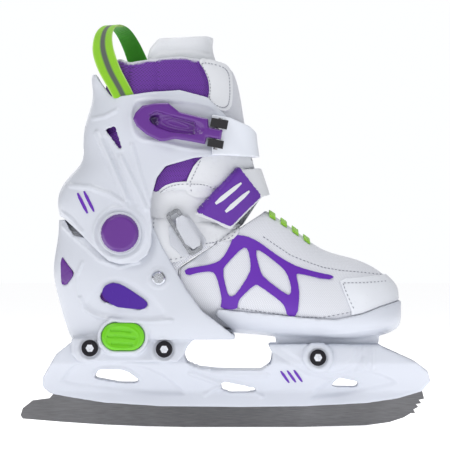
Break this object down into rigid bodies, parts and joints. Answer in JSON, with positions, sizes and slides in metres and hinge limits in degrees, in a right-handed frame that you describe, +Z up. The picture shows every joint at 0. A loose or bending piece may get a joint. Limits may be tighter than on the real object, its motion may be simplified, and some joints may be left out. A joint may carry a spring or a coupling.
{
  "type": "adjustable ice skate",
  "caption": "Size-adjustable child's ice skate with a hinged cuff, cam buckle, sliding toe section, size button, instep strap and a picked steel blade.",
  "frame": {"origin": "on the running edge of the blade, at the middle of its length and thickness", "axes": "+X to the toe, +Z up, -Y to the outer side, where the buckle is"},
  "size_m": [0.2863, 0.0963, 0.2837],
  "materials": {
    "blade_steel": "brushed, ground along the edge",
    "white_plastic": "semi gloss moulded",
    "purple_mesh": "knitted mesh",
    "black_steel": "black oxide",
    "zinc_steel": "zinc plated",
    "chrome_rivet": "polished",
    "purple_plastic": "semi gloss moulded",
    "white_upper": "white coated fabric",
    "grey_liner": "brushed lining",
    "purple_strap": "printed strap",
    "chrome_ring": "polished",
    "white_webbing": "woven",
    "green_plastic": "semi gloss moulded",
    "white_leather": "smooth coated",
    "purple_overlay": "welded film",
    "white_laces": "braided",
    "green_webbing": "woven webbing",
    "black_plastic": "matt"
  },
  "bodies": {
    "chassis": {"blade": "blade_steel", "blade_holder": "white_plastic", "heel_shell": "white_plastic", "heel_vent_mesh": "purple_mesh", "holder_bolts": "black_steel", "bolt_washers": "black_steel", "holder_nuts": "black_steel", "spacer_sleeves": "zinc_steel", "shell_rivets": "chrome_rivet", "cuff_pivot_pins": "zinc_steel", "pivot_caps": "purple_plastic", "quarter": "white_upper", "footbed": "grey_liner", "instep_strap": "purple_strap", "strap_ring": "chrome_ring", "ring_tab": "white_webbing", "button_spring": "zinc_steel"},
    "size_button": {"size_button": "green_plastic"},
    "toe_section": {"toe_shell": "white_plastic", "vamp": "white_upper", "toe_cap_overlay": "white_leather", "lattice_overlay": "purple_overlay", "laces": "white_laces"},
    "cuff": {"cuff_shell": "white_plastic", "collar": "purple_mesh", "tongue": "white_leather", "pull_loop": "green_webbing"},
    "buckle_strap": {"buckle_strap": "white_plastic", "buckle_bracket": "black_plastic", "buckle_pin": "zinc_steel", "strap_rivet": "chrome_rivet"},
    "buckle_lever": {"buckle_lever": "purple_plastic"}
  },
  "joints": [
    {"name": "toe_size_slide", "type": "slide", "parent": "chassis", "child": "toe_section", "axis": [1, 0, 0], "range_m": [0, 0.02]},
    {"name": "size_button_press", "type": "slide", "parent": "chassis", "child": "size_button", "axis": [0, 1, 0], "range_m": [0, 0.0015], "stiffness_N_per_m": 800, "springref_m": -0.001, "deforming": ["button_spring"]},
    {"name": "cuff_flex", "type": "hinge", "parent": "chassis", "child": "cuff", "pos_m": [-0.0713, 0, 0.1357], "axis": [0, 1, 0], "range_deg": [0, 4]},
    {"name": "strap_swing", "type": "hinge", "parent": "cuff", "child": "buckle_strap", "pos_m": [-0.03, 0.0416, 0.205], "axis": [0, 0, 1], "range_deg": [0, 85]},
    {"name": "buckle_lever_hinge", "type": "hinge", "parent": "buckle_strap", "child": "buckle_lever", "pos_m": [-0.0039, -0.0446, 0.2039], "axis": [0.1736, 0, 0.9848], "range_deg": [0, 100]}
  ]
}
